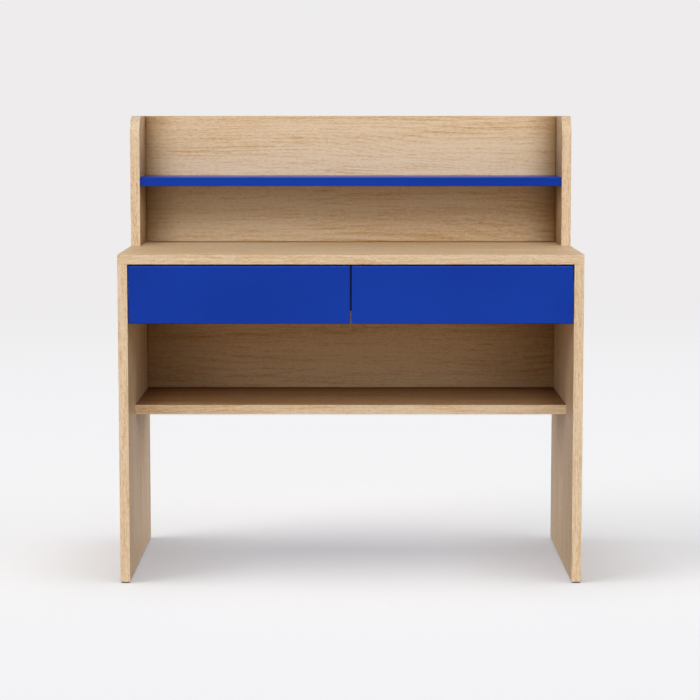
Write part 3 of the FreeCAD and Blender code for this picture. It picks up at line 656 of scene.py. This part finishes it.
for number, (name, board) in enumerate(boards.items()):
    edge = board.get("edge", "board")
    piece = eased(name, *easing[edge], board.get("joint"))
    figure = bandFigure if edge == "band" else 1
    low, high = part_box(name)
    end = high[0] if "paintedNookEndsOnly" in board else None
    piece.data.materials.append(oakFinish(
        "oak_" + name, board["grain"], number, board.get("print", oakPrint), figure,
        board.get("depth", 0), board.get("paintedNookShade", 0), end))
    if "endGrain" in board:
        # half a step on, so that an end never repeats a board's print
        dressEnds(piece, board["grain"], oakFinish(
            "oak_end_" + name, board["endGrain"], number + 0.5, figure=bandFigure))
    # the divider's front edge takes the painted shadow
    if name == "centre_divider":
        dressEnds(piece, board["grain"], cloudyFinish("dividerPaintedShadow", paintedShadowBand))
print("student desk: boards and bands dressed")

drawerGrain = {"left_side": "Y", "right_side": "Y", "back": "X"}
foils = {axis: foilFinish("drawerFoil" + axis, axis) for axis in "XY"}
for name, node in frame["nodes"].items():
    if name in boards:
        continue
    if slots[name] == "drawer_board":
        part = name.split("drawer_", 1)[1]
        material = foils[drawerGrain[part]]
    else:
        material = finishes[slots[name]]
    for index in range(len(node.data.materials)):
        node.data.materials[index] = material
    if not node.data.materials:
        node.data.materials.append(material)
print("student desk: drawers and fittings dressed")

# Floor, light and camera.
studio = {
    "backdrop": tint(238, 236, 237),
    "floor": [0.884, 0.84, 0.795, 1],
    "glow": [0.984, 1.04, 1.135, 1],  # the floor's own light, which brings it near the backdrop
    "glowStrength": 0.43,
    "contactShade": 0.5,
    "contactReach": 0.3,  # metres
    "fade": (2.2, 8),  # metres from the middle, where the floor turns into the backdrop
    "floorHalf": 60,  # metres from the middle to the floor's edge
    "floorBounce": [0.78, 0.6, 0.41, 1],  # the floor's colour, as far as it lights the desk
    "ambient": 0.02,  # the plain light from all round
    # strength, angular size in degrees, direction that the light comes from and what it lights
    "lamps": {
        "frontLamp": (2.28, 44, (0, -1, 0.98), "desk"),
        "leftFrontLamp": (0.78, 50, (-0.8, -1, 0.3), "desk"),
        "rightFrontLamp": (0.6, 50, (0.8, -1, 0.3), "desk"),
        "backLeftLamp": (1.0, 50, (-1, 0.7, 0.3), "desk"),
        "backRightLamp": (1.3, 50, (1, 0.7, 0.3), "desk"),
        "floorLamp": (0.65, 60, (0, -0.12, 1), "floor"),
        "leftFloorLamp": (1.15, 50, (-1, -0.3, 0.9), "floor"),
        "rightFloorLamp": (0.3, 50, (1, -0.3, 1), "floor"),
    },
}


def seenRays(paint):
    # 1 for what the camera sees, also in or through something shiny or clear
    camera = paint.node("LightPath", output="Is Camera Ray")
    glossy = paint.node("LightPath", output="Is Glossy Ray")
    through = paint.node("LightPath", output="Is Transmission Ray")
    return paint.clamp(camera + glossy + through)


def makeFloor():
    half = studio["floorHalf"]
    mesh = bmesh.new()
    corners = [(-half, -half), (half, -half), (half, half), (-half, half)]
    mesh.faces.new([mesh.verts.new((x, y, 0)) for x, y in corners])
    data = bpy.data.meshes.new("floor")
    mesh.to_mesh(data)
    mesh.free()
    floor = bpy.data.objects.new("floor", data)
    bpy.context.scene.collection.objects.link(floor)
    paint = newPaint("studioFloor")
    matt = paint.node("BsdfDiffuse", sockets={"Color": studio["floor"]})
    glow = paint.node("Emission", sockets={
        "Color": studio["glow"], "Strength": studio["glowStrength"]})
    lit = paint.node("AddShader", sockets={0: matt, 1: glow})
    # nothing shades the glow, so the contact shade round the legs is laid over it
    closed = 1 - paint.openShare(studio["contactReach"])
    dark = paint.node("Emission", sockets={"Strength": 0})
    near = paint.node("MixShader", sockets={
        0: paint.clamp(closed * studio["contactShade"]), 1: lit, 2: dark})
    far = paint.node("Emission", sockets={"Color": studio["backdrop"], "Strength": 1})
    place = paint.node("TexCoord", output="Object")
    distance = paint.node("VectorMath", {"operation": "LENGTH"}, {0: place}, output="Value")
    shown = paint.node("MixShader", sockets={
        0: paint.between(distance, studio["fade"]), 1: near, 2: far})
    unseen = paint.node("BsdfDiffuse", sockets={"Color": studio["floorBounce"]})
    mixed = paint.node("MixShader", sockets={0: seenRays(paint), 1: unseen, 2: shown})
    paint.node("OutputMaterial", sockets={"Surface": mixed})
    floor.data.materials.append(paint.owner)
    return floor


def makeWorld():
    world = bpy.data.worlds.new("studio")
    bpy.context.scene.world = world
    paint = Paint(world)
    shown = paint.node("Background", sockets={"Color": studio["backdrop"], "Strength": 1})
    unseen = paint.node("Background", sockets={
        "Color": [1, 1, 1, 1], "Strength": studio["ambient"]})
    mixed = paint.node("MixShader", sockets={0: seenRays(paint), 1: unseen, 2: shown})
    paint.node("OutputWorld", sockets={"Surface": mixed})


def makeLamp(name, strength, softness, source, lit):
    lamp = bpy.data.lights.new(name, "SUN")
    lamp.energy = strength
    lamp.angle = math.radians(softness)
    holder = bpy.data.objects.new(name, lamp)
    holder.rotation_euler = Vector(source).to_track_quat("Z", "Y").to_euler()
    bpy.context.scene.collection.objects.link(holder)
    # the floor alone, or all but the floor
    lightGroup = bpy.data.collections.new(name + "Lights")
    lightGroup.objects.link(floor)
    lightGroup.collection_objects[0].light_linking.link_state = (
        "INCLUDE" if lit == "floor" else "EXCLUDE")
    holder.light_linking.receiver_collection = lightGroup


view = {
    "sensor": 36,  # both in millimetres, as a camera's are
    "lens": 117.97,
    "place": (-0.0018, -5.4209, 1.0829),
    "tilt": 83.92,  # degrees up from looking straight down
}


def makeCamera():
    lens = bpy.data.cameras.new("camera")
    lens.sensor_width = view["sensor"]
    lens.lens = view["lens"]
    camera = bpy.data.objects.new("camera", lens)
    camera.location = view["place"]
    camera.rotation_euler = (math.radians(view["tilt"]), 0, 0)
    bpy.context.scene.collection.objects.link(camera)
    bpy.context.scene.camera = camera


floor = makeFloor()
makeWorld()
for name, lampValues in studio["lamps"].items():
    makeLamp(name, *lampValues)
makeCamera()
bpy.context.scene.view_settings.view_transform = "Standard"
print("student desk: stage ready")
